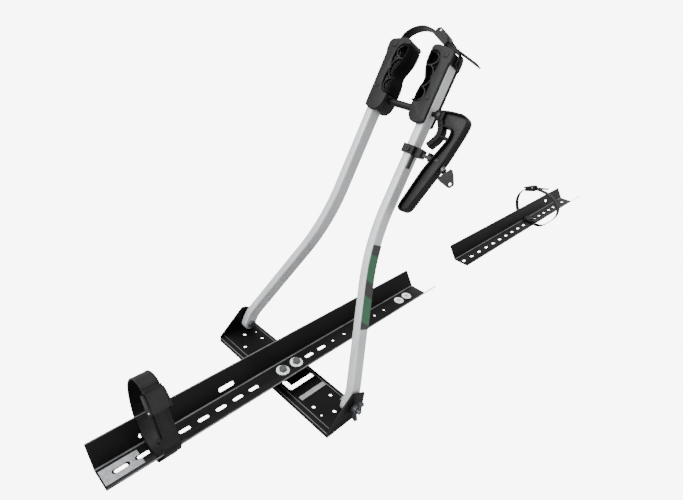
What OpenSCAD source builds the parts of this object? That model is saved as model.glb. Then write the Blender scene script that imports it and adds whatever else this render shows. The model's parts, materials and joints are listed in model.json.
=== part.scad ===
// Upright roof carrier for one bicycle: a folded steel tray with a pull-out extension,
// two aluminium arms hinged on a base plate, and a lever clamp with straps.
// X runs along the tray towards the extension, Y across it, Z up.
// The origin is the centre of the roof-bar hole pattern on the base plate's underside.

/* [Trays] */
// Length of the main tray
tray_len = 740; // [640:10:840]
// Half width of the tray floor inside
tray_half_w = 18.7; // [16:0.1:22]
// Height of the flared sides above the floor
tray_h = 31.5; // [26:0.5:36]
// How far each side leans out at its rim
tray_flare = 22.3; // [18:0.1:26]
// Sheet thickness of both trays
tray_t = 1.6; // [1.2:0.1:2]
// Distance from the base plate's middle back to the main tray's end
tray_back = 325; // [300:5:350]
// Length of the extension tray
ext_len = 774; // [700:10:820]
// Gap between the trays with the extension pulled out
ext_gap = 197; // [150:1:220]
// Spacing of the slots in the main tray's floor
slot_pitch = 32.2; // [30:0.1:34]
// Spacing of the slots in the extension's floor
ext_pitch = 42; // [40:0.5:44]

/* [Base] */
// Width of the base plate along the tray
base_w = 80; // [76:1:90]
// Length of the base plate across the tray
base_l = 296; // [290:1:310]
// Thickness of the base plate and its ears
base_t = 3; // [2:0.5:4]
// Depth of the turned-down long edges
lip_h = 9; // [6:1:12]
// Height of the ears above the plate's underside
ear_h = 50; // [44:1:56]
// Spacing of the roof-bar holes along the tray
bar_hole_dx = 40; // [30:1:46]
// Spacing of the roof-bar holes across the tray
bar_hole_dy = 190; // [170:2:210]

/* [Arms] */
// Lean of the arms from upright, towards the extension
lean = 25; // [0:1:45]
// Tube size across the carrier
tube_a = 15; // [14:0.5:16]
// Tube size along the carrier
tube_b = 26; // [24:0.5:26]
// Tube wall
tube_wall = 1.8; // [1.2:0.1:2.4]
// Splay of the lower half of each arm
splay = 20; // [15:1:22]
// Half distance between the upright tops of the arms
top_y = 52; // [50:0.5:54]
// Length of the arms above the foot bolts
arm_top = 567; // [560:1:580]

/* [Clamp] */
// Height of the draw rod above the foot bolts, measured along the arms
rod_s = 482; // [480:0.5:484]
// Distance of the lever's pin from the middle
pin_y = 74; // [73:0.5:76]
// Travel of the left jaw when the lever opens
jaw_travel = 4.5; // [3:0.5:4.5]

/* [Straps] */
// Thickness of all straps
strap_t = 2.5; // [2:0.1:3]
// Width of the front wheel strap
front_w = 25; // [20:1:28]
// Width of the rear wheel strap
rear_w = 20; // [16:1:24]
// Width of the strap over the jaws
top_w = 18; // [14:1:20]

/* [Hidden] */
$fn = 48;
floor_z = base_t + tray_t;
nut_ring_h = 2;
ext_lift = tray_t + nut_ring_h + 0.3;
ext_floor_z = floor_z + ext_lift;
ext_x = tray_len - tray_back + ext_gap;
flange_angle = atan2(tray_h, tray_flare);
plate_half = base_w / 2;
ear_y = base_l / 2 - base_t;
pivot_x = 18;
pivot_z = 18;
foot_len = 10;
bend_low = 60;
bend_high = 390;
splay_len = 165;
low_s = foot_len + bend_low * sin(splay);
high_s = low_s + splay_len * cos(splay);
straight_s = high_s + bend_high * sin(splay);
high_y = top_y + bend_high * (1 - cos(splay));
low_y = high_y + splay_len * sin(splay);
foot_y = low_y + bend_low * (1 - cos(splay));
bolt_r = 4;
jaw_front = -20;
jaw_back = 18;
pad_back_y = 37.5;
jaw_screw_ss = [500, 538];
tube_in = top_y - tube_a / 2;
tube_out = top_y + tube_a / 2;
lever_half = 9;
front_x = -242.5;
cradle_screw_xs = [15.1, 28.7];
rear_x = 1060;
buckle_len = 32;
wall = 2.6;
buckle_pin_r = 1.5;
buckle_pin = [-8, 7.4];
tray_bolt_ks = [9, 10];
joiner_ks = [19.7, 20.6];
lock_angle = 37;
lock_at = [0, -110, 411];

// Routes of the straps as [Y, Z] points around the tray, heights above its floor
front_loop = [[0, -6.5], [15, -6.5], [23.6, -2], [33.4, 13], [43.9, 28.6], [47.6, 38],
  [51, 55], [52, 75], [48, 95], [38, 111], [24, 120], [9, 121], [0, 115], [-10, 99.2],
  [-20, 83.4], [-30, 67.6], [-40, 51.6], [-46, 40], [-44.4, 29.4], [-33.4, 13],
  [-23.6, -2], [-15, -6.5]];
rear_loop = [[0, -6], [16, -6], [31, -1], [46, 12], [58, 34], [64, 58], [60, 80],
  [48, 96], [30, 102], [12, 108], [-14, 107], [-38, 101], [-56, 89], [-69, 71], [-72, 51],
  [-65, 31], [-51, 11], [-37, -2], [-18, -6]];
// Routes of the straps' free ends, each branching off inside its buckle
rear_tail = [[32.9, 101], [26.4, 103.7], [21.8, 106], [17.6, 109.1], [12, 112.5], [-4, 116],
  [-21, 120.5]];
front_tail = [[-8.4, 101.7], [-12.6, 96.1], [-15.8, 92.2], [-20.6, 88.9], [-31.5, 73],
  [-41, 60]];
// Route of the strap over the jaws as [Y, height along the arms]
top_route = [[50, 584], [47, 593], [36, 602.5], [18, 608], [-4, 604], [-22, 594.5],
  [-40, 585], [-56, 584], [-65, 579.5], [-65.6, 569], [-65.6, 559]];
top_tail = [[-19.3, 595.9], [-29.4, 591.3], [-37.2, 589], [-46, 586.9], [-57, 586.4],
  [-66, 584], [-74, 580], [-99, 567]];

// ---- outlines and routes -------------------------------------------------------------

// A round-ended slot cut through a sheet that lies in the XY plane
module slot_cut(len, d, depth = 12) {
  translate([0, 0, -depth / 2]) linear_extrude(depth) {
    square([len - d, d], center = true);
    for (s = [-1, 1]) translate([s * (len - d) / 2, 0]) circle(d / 2);
  }
}

// Turns an outline in XY into a bar along X, with the outline's axes on Y and Z
module along_x(len) { rotate([90, 0, 90]) linear_extrude(len) children(); }

// A smooth curve through points: Catmull-Rom, four points at a time
function mix4(a, b, c, d, t) = 0.5 * (2 * b + (c - a) * t
  + (2 * a - 5 * b + 4 * c - d) * t * t + (3 * b - a - 3 * c + d) * t * t * t);
function closed_curve(p, n = 4) = let (m = len(p))
  [for (i = [0 : m - 1], k = [0 : n - 1])
    mix4(p[(i + m - 1) % m], p[i], p[(i + 1) % m], p[(i + 2) % m], k / n)];
function open_curve(p, n = 4) = let (m = len(p), q = concat([2 * p[0] - p[1]], p,
  [2 * p[m - 1] - p[m - 2]]))
  concat([for (i = [0 : m - 2], k = [0 : n - 1])
    mix4(q[i], q[i + 1], q[i + 2], q[i + 3], k / n)], [p[m - 1]]);
function unit(v) = v / norm(v);
function turn_left(v) = [-v[1], v[0]];
// The curve moved sideways by d
function beside(c, d, closed) = let (m = len(c))
  [for (i = [0 : m - 1]) let (a = c[closed ? (i + m - 1) % m : max(i - 1, 0)],
    b = c[closed ? (i + 1) % m : min(i + 1, m - 1)]) c[i] + d * turn_left(unit(b - a))];
function reversed(c) = [for (i = [len(c) - 1 : -1 : 0]) c[i]];

// An open band of even thickness along a curve
module band(p, t, n = 4) {
  c = open_curve(p, n);
  polygon(concat(beside(c, t / 2, false), reversed(beside(c, -t / 2, false))));
}

// A closed band of even thickness
module loop_band(p, t, n = 4) {
  c = closed_curve(p, n);
  difference() {
    polygon(beside(c, -t / 2, true));
    polygon(beside(c, t / 2, true));
  }
}

// A fastener head with six sides across flats af
module hex_bar(af, h) { cylinder(r = af / sqrt(3), h = h, $fn = 6); }

// ---- placing -------------------------------------------------------------------------

// Frame of the arms: its origin is the foot bolts' axis, its Z runs up the arms
module on_arms() { translate([pivot_x, 0, pivot_z]) rotate([0, lean, 0]) children(); }
// An outline in [Y, height along the arms], with depth from n0 to n1 along the arms' X
module arm_slab(n0, n1) { translate([n0, 0, 0]) along_x(n1 - n0) children(); }
// A cylinder along Y from y0 to y1
module y_rod(r, y0, y1) { translate([0, y0, 0]) rotate([-90, 0, 0]) cylinder(r = r, h = y1 - y0); }
// Both sides: children and their mirror image
module both_sides() {
  children();
  mirror([0, 1, 0]) children();
}
// Places a buckle whose X runs along the strap, from a centre and a direction in YZ
module on_strap(c, d) {
  u = unit(d);
  translate([0, c[0], c[1]]) rotate([atan2(u[1], u[0]), 0, 0]) rotate([0, 0, 90]) children();
}
module on_front_strap() {
  translate([front_x, 0, floor_z]) on_strap([-10, 99.2], [10, 15.8]) children();
}
module on_rear_strap() {
  translate([rear_x, 0, ext_floor_z]) on_strap([30, 102], [18, -6]) children();
}
module on_top_strap() {
  on_arms() on_strap([-22, 594.5], [18, 9.5]) mirror([1, 0, 0]) children();
}

// ---- trays ---------------------------------------------------------------------------

function slot_x(k) = -tray_back + 28 + k * slot_pitch;

// Folded channel section, floor's top face at height 0
module channel_section() {
  rim = [tray_half_w + tray_flare, tray_h];
  out = tray_t * [sin(flange_angle), -cos(flange_angle)];
  corner = tray_half_w + tray_t * tan(flange_angle / 2);
  polygon([[-rim[0], rim[1]], [-tray_half_w, 0], [tray_half_w, 0], rim, rim + out,
    [corner, -tray_t], [-corner, -tray_t], [-rim[0] - out[0], rim[1] + out[1]]]);
}

// Puts a cutter on the left flange, at a fraction of its height
module on_flange(x, f) {
  translate([x, tray_half_w + tray_flare * f, tray_h * f]) rotate([flange_angle, 0, 0]) children();
}

module main_tray() {
  color("#17181a") translate([0, 0, floor_z]) difference() {
    translate([-tray_back, 0, 0]) along_x(tray_len) channel_section();
    for (k = [0 : 7], k2 = [11, 12]) {
      translate([slot_x(k), 0, 0]) slot_cut(19, 7);
      translate([slot_x(k2), 0, 0]) slot_cut(20, 7);
    }
    for (k = [13, 14, 15, 16, 17, 18])
      translate([slot_x(k), 0, -5]) cylinder(r = 2.6, h = 10);
    for (k = tray_bolt_ks) translate([slot_x(k), 0, -5]) cylinder(r = 4.5, h = 10);
    for (k = joiner_ks) translate([slot_x(k), 0, -5]) cylinder(r = 5.5, h = 10);
    on_flange(-109, 0.28) slot_cut(30, 7.2);
    for (x = [-232, -256]) on_flange(x, 0.28) cylinder(r = 3.2, h = 12, center = true);
    translate([-tray_back - 1, -60, 4]) cube([9, 42, 40]);
  }
}

module extension_tray() {
  color("#17181a") translate([ext_x, 0, ext_floor_z]) difference() {
    along_x(ext_len) channel_section();
    for (k = [0 : 17]) translate([16 + k * ext_pitch, 0, 0]) slot_cut(15, 6.5);
    on_flange(640, 0.5) slot_cut(20, 7);
    translate([-1, -60, 3]) cube([27, 42, 40]);
    translate([rear_x - ext_x, 0, -5]) cylinder(r = 2.7, h = 10);
  }
}

// ---- base ----------------------------------------------------------------------------

module base_section() {
  step_in = 8;
  polygon([[-plate_half, -lip_h], [-plate_half, 0], [-plate_half + step_in, base_t],
    [plate_half - step_in, base_t], [plate_half, 0], [plate_half, -lip_h],
    [plate_half - base_t, -lip_h], [plate_half - base_t, -base_t],
    [plate_half - step_in - 1, 0], [-plate_half + step_in + 1, 0],
    [-plate_half + base_t, -base_t], [-plate_half + base_t, -lip_h]]);
}

module ear_outline() {
  difference() {
    polygon([[-plate_half, -lip_h], [-plate_half, 3], [4, ear_h - 5], [10, ear_h],
      [17, ear_h - 1], [plate_half + 3, ear_h - 15], [plate_half + 3, -lip_h]]);
    translate([pivot_x, pivot_z]) circle(bolt_r + 0.05);
  }
}

module base_plate() {
  color("#1b1c1e") difference() {
    union() {
      translate([0, base_l / 2, 0]) rotate([90, 0, 0]) linear_extrude(base_l) base_section();
      both_sides() translate([0, base_l / 2, 0]) rotate([90, 0, 0])
        linear_extrude(base_t) ear_outline();
    }
    for (sx = [-1, 1], sy = [-1, 1])
      translate([sx * bar_hole_dx / 2, sy * bar_hole_dy / 2, -5]) cylinder(r = 3.3, h = 12);
    for (k = tray_bolt_ks) translate([slot_x(k), 0, -5]) cylinder(r = 4.5, h = 12);
    for (a = [0, 180]) rotate([0, 0, a]) {
      translate([4, -39, 0]) slot_cut(60, 10);
      translate([-21, -31, 0]) rotate([0, 0, 90]) slot_cut(26, 10);
      translate([0, -124, -5]) cylinder(r = 3.5, h = 12);
      translate([-22, -116, -5]) cylinder(r = 2.2, h = 12);
    }
  }
}

module tray_bolts() {
  color("silver") for (k = tray_bolt_ks) translate([slot_x(k), 0, 0]) {
    translate([0, 0, floor_z + 1.6]) hex_bar(13, 5.3);
    translate([0, 0, -8]) cylinder(r = bolt_r, h = floor_z + 1.6 + 8);
  }
}

module tray_washers() {
  color("gainsboro") for (k = tray_bolt_ks) translate([slot_x(k), 0, floor_z]) difference() {
    cylinder(r = 12, h = 1.6);
    translate([0, 0, -1]) cylinder(r = bolt_r + 0.2, h = 4);
  }
}

module tray_nuts() {
  color("silver") for (k = tray_bolt_ks) translate([slot_x(k), 0, -6.8]) difference() {
    hex_bar(13, 6.5);
    translate([0, 0, -1]) cylinder(r = bolt_r, h = 9);
  }
}

// Threaded inserts that take the bolts joining the two trays
module joiner_nuts() {
  color("gainsboro") for (k = joiner_ks) translate([slot_x(k), 0, floor_z]) difference() {
    union() {
      cylinder(r = 11, h = nut_ring_h);
      translate([0, 0, -9]) cylinder(r = 5.4, h = 10);
    }
    translate([0, 0, -10]) cylinder(r = 4, h = 14);
  }
}

module tray_label() {
  color("#a9abae") translate([-tray_back + 2, 0, floor_z]) difference() {
    translate([0, -13.5, 0]) cube([54, 27, 0.25]);
    for (k = [0, 1]) translate([26 + k * slot_pitch, 0, 0]) slot_cut(25, 8);
  }
}

module base_label() {
  color("#b9bbbd") translate([-26, -73, base_t]) cube([56, 9, 0.25]);
}

// ---- front wheel rest ----------------------------------------------------------------

// Saddle block in the tray that the tyre stands on
module wheel_cradle() {
  seat = tray_half_w - 0.6;
  lean_out = tray_flare * 0.96;
  color("#222325") translate([front_x - 12, 0, floor_z]) difference() {
    along_x(36) difference() {
      polygon([[-seat, 0.1], [seat, 0.1], [seat + lean_out, tray_h * 0.96 + 0.1],
        [-seat - lean_out, tray_h * 0.96 + 0.1]]);
      translate([0, 46]) circle(40);
    }
    for (x = cradle_screw_xs) translate([x, 0, -1]) cylinder(r = 2.6, h = 12);
  }
}

module cradle_screws() {
  color("#55585c") for (x = cradle_screw_xs) translate([front_x - 12 + x, 0, floor_z]) {
    translate([0, 0, -4.9]) cylinder(r = 2.5, h = 11.4);
    translate([0, 0, 6.4]) cylinder(r = 4.5, h = 2.1);
    translate([0, 0, -4.6]) hex_bar(8, 2.9);
  }
}

module front_strap() {
  color("#26272a") translate([front_x - front_w / 2, 0, floor_z]) {
    along_x(front_w) loop_band(front_loop, strap_t);
    translate([front_w / 2 - 10, 0, 0]) along_x(20) band(front_tail, strap_t - 0.5);
  }
}

// ---- ratchet buckles -----------------------------------------------------------------

// Cheek outline of a buckle: X along the strap, Z away from the loop, drawn in XY
module cheek() {
  h = buckle_len / 2;
  polygon([[-h, -4], [h, -4], [h, 3], [h - 6, 7.5], [-2, 11], [-12, 11], [-h, 6.5]]);
}

module buckle_frame(w) {
  color("#202123") difference() {
    rotate([90, 0, 0]) linear_extrude(w + 2 * wall + 0.8, center = true) cheek();
    translate([-buckle_len, -w / 2 - 0.4, -strap_t / 2 - 0.8])
      cube([2 * buckle_len, w + 0.8, 20]);
    translate([buckle_pin[0], 0, buckle_pin[1]]) y_rod(buckle_pin_r, -w, w);
  }
}

module buckle_pin_rod(w) {
  color("silver") translate([buckle_pin[0], 0, buckle_pin[1]])
    y_rod(buckle_pin_r, -w / 2 - wall - 1, w / 2 + wall + 1);
}

// The thumb lever with its pawl, closed
module buckle_thumb(w) {
  color("#303236") translate([buckle_pin[0], 0, buckle_pin[1]]) rotate([90, 0, 0])
    linear_extrude(w - 0.4, center = true) difference() {
      polygon([[-4, 3.2], [12, 3.6], [25, -0.4], [30, 0.6], [30, -2], [24, -3.2],
        [8, -0.8], [1, -4.8], [-3, -3]]);
      circle(buckle_pin_r + 0.05);
    }
}

module front_buckle() { on_front_strap() buckle_frame(front_w); }
module front_buckle_pin() { on_front_strap() buckle_pin_rod(front_w); }
module front_buckle_lever() { on_front_strap() buckle_thumb(front_w); }
module rear_buckle() { on_rear_strap() buckle_frame(rear_w); }
module rear_buckle_pin() { on_rear_strap() buckle_pin_rod(rear_w); }
module rear_buckle_lever() { on_rear_strap() buckle_thumb(rear_w); }
module top_buckle() { on_top_strap() buckle_frame(top_w); }
module top_buckle_pin() { on_top_strap() buckle_pin_rod(top_w); }
module top_buckle_lever() { on_top_strap() buckle_thumb(top_w); }

// ---- rear wheel strap ----------------------------------------------------------------

module rear_strap() {
  color("#26272a") translate([rear_x, 0, ext_floor_z]) difference() {
    translate([-rear_w / 2, 0, 0]) {
      along_x(rear_w) loop_band(rear_loop, strap_t);
      translate([2, 0, 0]) along_x(rear_w - 4) band(rear_tail, strap_t - 0.5);
    }
    translate([0, 0, -10]) cylinder(r = 2.7, h = 12);
  }
}

module strap_keeper() {
  color("#222325") translate([rear_x, 0, ext_floor_z]) difference() {
    translate([-16, 0, 0]) along_x(32)
      polygon([[-15, 0.1], [15, 0.1], [20, 8], [12, 9.5], [6, 6], [-6, 6], [-12, 9.5], [-20, 8]]);
    translate([0, 0, -1]) cylinder(r = 2.6, h = 12);
  }
}

module keeper_screw() {
  color("#8a8d91") translate([rear_x, 0, ext_floor_z]) {
    translate([0, 0, -11]) cylinder(r = 2.5, h = 17.2);
    translate([0, 0, 6.1]) cylinder(r = 4.6, h = 2.6);
    translate([0, 0, -10.8]) hex_bar(8, 3.2);
  }
}

// ---- arms ----------------------------------------------------------------------------

// Middle line of the left arm from its foot up, as [Y, height along the arms]
function arc_points(c, r, a0, a1, n) = [for (i = [0 : n])
  let (a = a0 + (a1 - a0) * i / n) c + r * [cos(a), sin(a)]];
arm_route = concat([[foot_y, -tube_b / 2]],
  arc_points([foot_y - bend_low, foot_len], bend_low, 0, splay, 5),
  arc_points([top_y + bend_high, straight_s], bend_high, 180 + splay, 180, 16),
  [[top_y, arm_top]]);

// The strip between two offsets from the arm's middle line
module arm_strip(d0, d1, route = arm_route) {
  polygon(concat(beside(route, d0, false), reversed(beside(route, d1, false))));
}

module arm_tube() {
  inner = tube_a / 2 - tube_wall;
  depth = tube_b / 2 - tube_wall;
  difference() {
    arm_slab(-tube_b / 2, tube_b / 2) arm_strip(-tube_a / 2, tube_a / 2);
    arm_slab(-depth, depth) arm_strip(-inner, inner);
    translate([-depth, foot_y - inner, -40]) cube([2 * depth, 2 * inner, 40]);
    translate([-depth, top_y - inner, arm_top - 2]) cube([2 * depth, 2 * inner, 9]);
    difference() {
      translate([-30, foot_y - 20, -40]) cube([60, 40, 40]);
      y_rod(tube_b / 2, foot_y - 21, foot_y + 21);
    }
    y_rod(bolt_r + 0.2, foot_y - 20, foot_y + 20);
    translate([0, 0, rod_s]) y_rod(bolt_r + 0.6, 20, 90);
  }
}

module left_arm() { color("#c9cbcd") on_arms() arm_tube(); }
module right_arm() { color("#c9cbcd") on_arms() mirror([0, 1, 0]) arm_tube(); }

module pivot_bolts() {
  color("silver") on_arms() both_sides() {
    translate([0, foot_y - tube_a / 2 - 0.1, 0]) rotate([90, 0, 0]) hex_bar(13, 5.3);
    y_rod(bolt_r, foot_y - tube_a / 2 - 0.2, ear_y + 18);
  }
}

module pivot_washers() {
  color("gainsboro") on_arms() both_sides() difference() {
    y_rod(8.5, foot_y + tube_a / 2 + 0.1, ear_y - 0.3);
    y_rod(bolt_r + 0.1, foot_y, ear_y + 10);
  }
}

// Wing nut on the bolt's end outside the ear, wings upright
module wing_nut() {
  hub_y = ear_y + base_t + 0.4;
  color("silver") on_arms() difference() {
    union() {
      y_rod(8, hub_y, hub_y + 8);
      translate([-1.5, 0, 0]) along_x(3)
        polygon([[hub_y + 2, -7], [hub_y + 6, -16], [hub_y + 12, -18], [hub_y + 15, -14],
          [hub_y + 8, -4], [hub_y + 8, 4], [hub_y + 15, 14], [hub_y + 12, 18],
          [hub_y + 6, 16], [hub_y + 2, 7]]);
    }
    y_rod(bolt_r + 0.05, hub_y - 1, hub_y + 20);
  }
}

module left_wing_nut() { wing_nut(); }
module right_wing_nut() { mirror([0, 1, 0]) wing_nut(); }

// Wrap-on film with stripes on the right arm's outer face
module arm_sticker() {
  film = tube_a / 2 + 0.3;
  gap = tube_a / 2 + 0.02;
  color("#1f5a43") on_arms() mirror([0, 1, 0]) intersection() {
    arm_slab(-12, 12) arm_strip(-film, -gap);
    translate([-30, 0, 122]) cube([60, 200, 134]);
  }
}

// ---- jaws ----------------------------------------------------------------------------

// Gripping face of the rubber, from its lower end up, as [Y, height along the arms]
pad_face = [[26, 490], [26, 505], [27.5, 514], [29.5, 521], [29.5, 528], [26.5, 535],
  [22.5, 545], [20, 557], [20, 571]];

module pad_outline() {
  polygon(concat(open_curve(pad_face), [[pad_back_y, 571], [pad_back_y, 490]]));
}

module jaw_outline() {
  polygon([[62.5, 557], [62.5, 571], [60.5, 574.5], [56, 577], [40, 580.5], [30, 581.5],
    [23, 580], [20, 576], [20, 571.2], [pad_back_y, 571.2], [pad_back_y, 489.8], [26, 489.8],
    [26, 478], [29, 467], [35, 460], [43, 458], [52, 459], [60.5, 463], [60.5, 557]]);
}

// Jaw housing on the left arm; floor_y is the bottom of the channel that takes the tube
module jaw_housing(floor_y, rod_gap) {
  slack = 0.3;
  color("#2a2b2d") difference() {
    arm_slab(jaw_front, jaw_back) jaw_outline();
    translate([-tube_b / 2 - slack, floor_y, 440]) cube([tube_b + 2 * slack, 60, 117]);
    translate([-tube_b / 2 - slack, floor_y, 550])
      cube([tube_b + 2 * slack, tube_out + slack - floor_y, arm_top + 1 - 550]);
    translate([0, 0, rod_s]) y_rod(bolt_r + rod_gap, 10, 90);
  }
}

module jaw_pad() {
  color("#111214") arm_slab(jaw_front + 1, jaw_back - 1) pad_outline();
}

module left_jaw() {
  on_arms() jaw_housing(tube_in - jaw_travel - 0.5, 0);
}
module left_jaw_pad() { on_arms() jaw_pad(); }
module right_jaw() {
  color("#2a2b2d") difference() {
    on_arms() mirror([0, 1, 0]) jaw_housing(tube_in - 0.1, 0.08);
    on_arms() for (s = jaw_screw_ss) translate([jaw_back - 5, -49, s]) rotate([0, 90, 0])
      cylinder(r = 3.2, h = 12);
  }
}
module right_jaw_pad() { on_arms() mirror([0, 1, 0]) jaw_pad(); }

// Screws that hold the right housing to its tube from behind
module jaw_screws() {
  color("#8a8d91") on_arms() for (s = jaw_screw_ss)
    translate([jaw_back - 5, -49, s]) rotate([0, 90, 0]) cylinder(r = 3.1, h = 3.6);
}

// ---- draw rod ------------------------------------------------------------------------

module draw_rod() {
  color("silver") on_arms() translate([0, 0, rod_s]) difference() {
    union() {
      y_rod(bolt_r, -pin_y + 4, 70);
      translate([-4, -pin_y, 0]) rotate([0, 90, 0]) cylinder(r = 8, h = 8);
    }
    translate([-10, -pin_y, 0]) rotate([0, 90, 0]) cylinder(r = 3.05, h = 20);
  }
}

module rod_sleeve() {
  color("#3a3c3f") on_arms() translate([0, 0, rod_s]) difference() {
    y_rod(6, -25.6, 25.9);
    y_rod(bolt_r, -30, 30);
  }
}

module rod_nut() {
  color("silver") on_arms() translate([0, 0, rod_s]) difference() {
    translate([0, 60.6, 0]) rotate([-90, 0, 0]) hex_bar(13, 6.5);
    y_rod(bolt_r, 50, 80);
  }
}

// ---- collar and lock tongue on the right arm -----------------------------------------

module lever_collar() {
  color("#1f2022") on_arms() difference() {
    union() {
      translate([-16, -tube_out - 3, 411]) cube([32, tube_a + 6, 14]);
      translate([-8, -tube_out - 14, 411]) cube([16, 12, 14]);
      translate([-10, -tube_out - 3, 389]) cube([7, 2.8, 23]);
    }
    translate([-tube_b / 2, -tube_out, 405]) cube([tube_b, tube_a, 30]);
    translate([-4.2, -tube_out - 20, 413.9]) cube([8.4, 20, 5.2]);
  }
}

module collar_screw() {
  color("#8a8d91") on_arms() translate([-16, -top_y, 418]) rotate([0, -90, 0]) {
    difference() {
      cylinder(r = 4, h = 2.6);
      translate([0, 0, 1]) cylinder(r = 2.2, h = 3, $fn = 6);
    }
  }
}

module lock_tongue() {
  color("#77797c") on_arms() difference() {
    translate([-4, -105, 414]) cube([8, 105 - tube_out - 0.2, 5]);
    translate([0, -86, 405]) cylinder(r = 2.5, h = 20);
  }
}

module tongue_knob() {
  color("#2c2d30") on_arms() translate([0, -86, 0]) {
    translate([0, 0, 411]) cylinder(r = 2.5, h = 9);
    translate([0, 0, 419.1]) cylinder(r = 4.5, h = 5);
  }
}

// ---- lever ---------------------------------------------------------------------------

bar_route = [[-80, 479.5], [-90, 479.5], [-102, 479], [-109.5, 473]];
handle_route = [[-112.5, 460], [-110.5, 445], [-106, 423], [-99, 395], [-90, 362], [-82.5, 333]];
strut_route = [[-78, 474], [-85, 466], [-88, 457], [-86, 447], [-78, 434]];

// One part of the lever, through its whole depth
module lever_slab() { arm_slab(-lever_half, lever_half) children(); }
// A cylinder through the lever at a point in [Y, height along the arms]
module lever_round(c, r) {
  translate([-lever_half, c[0], c[1]]) rotate([0, 90, 0]) cylinder(r = r, h = 2 * lever_half);
}

module lever_body() {
  lever_slab() band(concat(bar_route, handle_route), 22);
  lever_slab() band(strut_route, 9);
  lever_slab() translate([-pin_y, rod_s - 2]) square([11, 4]);
  lever_slab() translate([-108, 450]) square([24, 4]);
  lever_round([-82.5, 333], 10.6);
  lever_round([-78, 434], 5.5);
  lever_round([-pin_y, rod_s], 8);
  lever_round([-pin_y + 11, rod_s], 2);
}

module lever_handle() {
  color("#202123") on_arms() difference() {
    lever_body();
    arm_slab(-lever_half - 1, -lever_half + 7)
      band([[-110, 443], [-106, 423], [-99, 395], [-90, 362], [-85, 342]], 14);
    arm_slab(-lever_half - 1, -lever_half + 7) band([[-89, 479.5], [-102, 479]], 14);
    translate([-4.4, -pin_y - 9.5, rod_s - 9.5]) cube([8.8, 30, 30]);
    translate([-10, -pin_y, rod_s]) rotate([0, 90, 0]) cylinder(r = 3, h = 20);
    translate([-4.6, -111, 405]) cube([9.2, 24, 18]);
    translate(lock_at) rotate([90 + lock_angle, 0, 0]) translate([0, 0, 1])
      cylinder(r = 5.55, h = 30);
  }
}

module lever_pin() {
  color("silver") on_arms() translate([-lever_half - 0.6, -pin_y, rod_s]) rotate([0, 90, 0])
    cylinder(r = 3, h = 2 * lever_half + 1.2);
}

module lock_barrel() {
  color("silver") on_arms() translate(lock_at) rotate([90 + lock_angle, 0, 0])
    translate([0, 0, 1.5]) difference() {
      cylinder(r = 5.5, h = 9.5);
      translate([-1, -3.6, 3]) cube([2, 7.2, 10]);
    }
}

// Key with a tapered bow, pushed into the barrel
module key() {
  color("#3b3d40") on_arms() translate(lock_at) rotate([90 + lock_angle, 0, 0]) {
    translate([-0.9, -3.4, 5]) cube([1.8, 6.8, 9]);
    translate([-1.6, 0, 0]) rotate([0, 90, 0]) linear_extrude(3.2) difference() {
      polygon([[-14, -12], [-17, -13], [-23, -11.5], [-37, -5.5], [-39, -3.5], [-39, 3.5],
        [-37, 5.5], [-23, 11.5], [-17, 13], [-14, 12]]);
      translate([-34, 0]) circle(2.6);
    }
  }
}

// ---- strap over the jaws -------------------------------------------------------------

module top_strap() {
  color("#26272a") on_arms() difference() {
    union() {
      arm_slab(-top_w / 2, top_w / 2) band(top_route, strap_t);
      arm_slab(-top_w / 2 + 1, top_w / 2 - 1) band(top_tail, strap_t - 0.7);
    }
    translate([0, 0, 564]) y_rod(2.2, -80, -50);
  }
}

module strap_rivet() {
  color("silver") on_arms() translate([0, 0, 564]) {
    y_rod(2.1, -67, -62.6);
    y_rod(4.2, -68.8, -66.9);
  }
}

base_plate();
main_tray();
tray_bolts();
tray_washers();
tray_nuts();
joiner_nuts();
tray_label();
base_label();
wheel_cradle();
cradle_screws();
front_strap();
front_buckle();
front_buckle_pin();
front_buckle_lever();
extension_tray();
strap_keeper();
keeper_screw();
rear_strap();
rear_buckle();
rear_buckle_pin();
rear_buckle_lever();
left_arm();
right_arm();
pivot_bolts();
pivot_washers();
left_wing_nut();
right_wing_nut();
arm_sticker();
left_jaw();
left_jaw_pad();
draw_rod();
rod_sleeve();
rod_nut();
right_jaw();
right_jaw_pad();
jaw_screws();
lever_collar();
collar_screw();
lock_tongue();
tongue_knob();
lever_handle();
lever_pin();
lock_barrel();
key();
top_strap();
strap_rivet();
top_buckle();
top_buckle_pin();
top_buckle_lever();
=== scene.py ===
# %% [markdown]
# # Roof carrier for one bicycle
# The carrier is a folded steel wheel tray on a base plate, a second tray that slides over it, two
# aluminium arms with a padded clamp and a lever, and three ratchet straps. The exact shapes come
# from CAD as a fixed frame. This lesson dresses that frame: sheet metal gets soft edges, mouldings
# get their ribs and hollows, and each finish gets its own nodes.

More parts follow.
